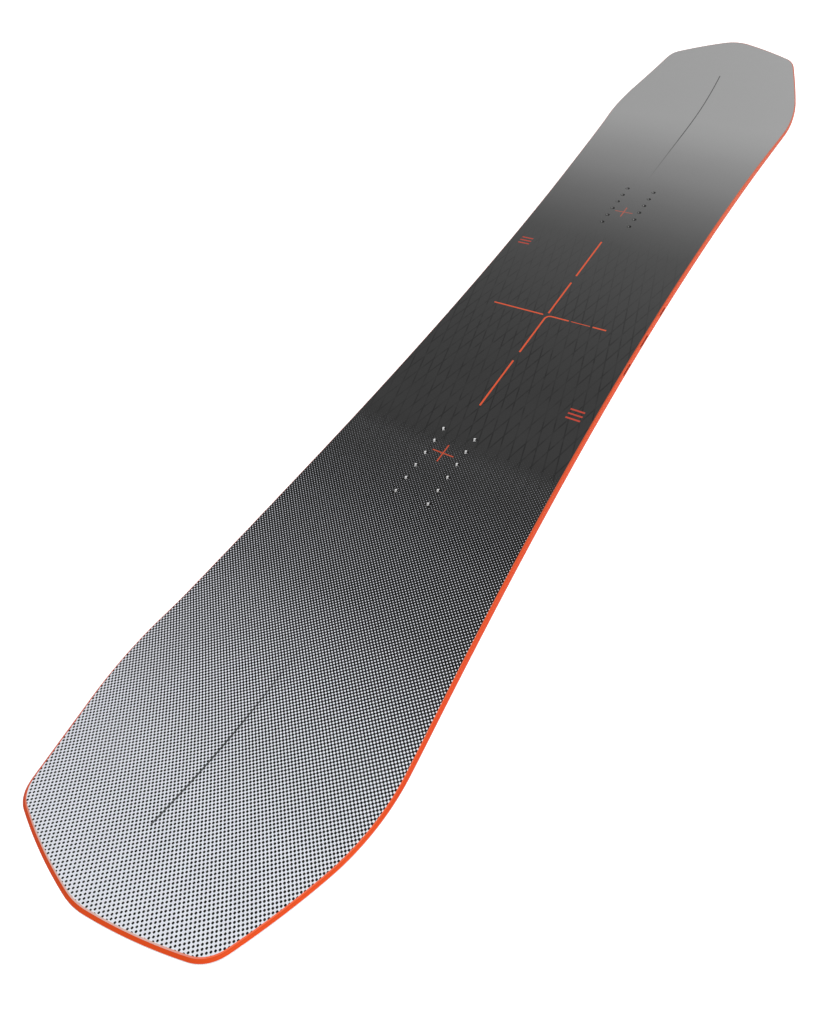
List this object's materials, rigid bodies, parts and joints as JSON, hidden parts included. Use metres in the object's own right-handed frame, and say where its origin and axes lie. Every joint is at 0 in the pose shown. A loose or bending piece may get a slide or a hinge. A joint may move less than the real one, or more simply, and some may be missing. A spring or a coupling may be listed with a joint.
{
  "type": "snowboard",
  "caption": "Directional snowboard with blunt faceted tips: laminated deck with coloured side walls, steel edges and threaded insert packs, supplied without bindings.",
  "frame": {"origin": "midpoint between the two insert packs, on the running surface of the base", "axes": "+X towards the nose, +Y towards the left edge as seen looking to the nose, +Z out of the topsheet"},
  "size_m": [1.5465, 0.2956, 0.0541],
  "materials": {
    "topsheet": "satin topsheet: charcoal in the middle, black halftone dots on a pale ground towards the tail, an even mid grey towards the nose, orange line marks",
    "abs": "satin orange side wall plastic",
    "steel": "ground steel edge",
    "base": "black sintered polyethylene with fine stone-ground lines",
    "laminate": "translucent fibreglass laminate",
    "poplar": "planed poplar",
    "beech": "planed beech",
    "carbon": "carbon fibre tape",
    "rubber": "thin damping rubber",
    "insert_steel": "stainless steel, dark down the bore"
  },
  "bodies": {
    "root": {"topsheet": "topsheet", "top_laminate": "laminate", "bottom_laminate": "laminate", "base_sheet": "base", "steel_edge_left": "steel", "steel_edge_right": "steel", "side_wall_left": "abs", "side_wall_right": "abs", "nose_spacer": "abs", "tail_spacer": "abs", "rubber_foil_left": "rubber", "rubber_foil_right": "rubber", "core_middle": "beech", "core_inner_left": "beech", "core_inner_right": "beech", "core_mid_left": "poplar", "core_mid_right": "poplar", "core_tape_left": "poplar", "core_tape_right": "poplar", "core_outer_left": "beech", "core_outer_right": "beech", "carbon_tape_left": "carbon", "carbon_tape_right": "carbon", "insert_mat_front": "laminate", "insert_mat_rear": "laminate", "insert_front_01": "insert_steel", "insert_front_02": "insert_steel", "insert_front_03": "insert_steel", "insert_front_04": "insert_steel", "insert_front_05": "insert_steel", "insert_front_06": "insert_steel", "insert_front_07": "insert_steel", "insert_front_08": "insert_steel", "insert_front_09": "insert_steel", "insert_front_10": "insert_steel", "insert_front_11": "insert_steel", "insert_front_12": "insert_steel", "insert_rear_01": "insert_steel", "insert_rear_02": "insert_steel", "insert_rear_03": "insert_steel", "insert_rear_04": "insert_steel", "insert_rear_05": "insert_steel", "insert_rear_06": "insert_steel", "insert_rear_07": "insert_steel", "insert_rear_08": "insert_steel", "insert_rear_09": "insert_steel", "insert_rear_10": "insert_steel", "insert_rear_11": "insert_steel", "insert_rear_12": "insert_steel"}
  },
  "joints": []
}
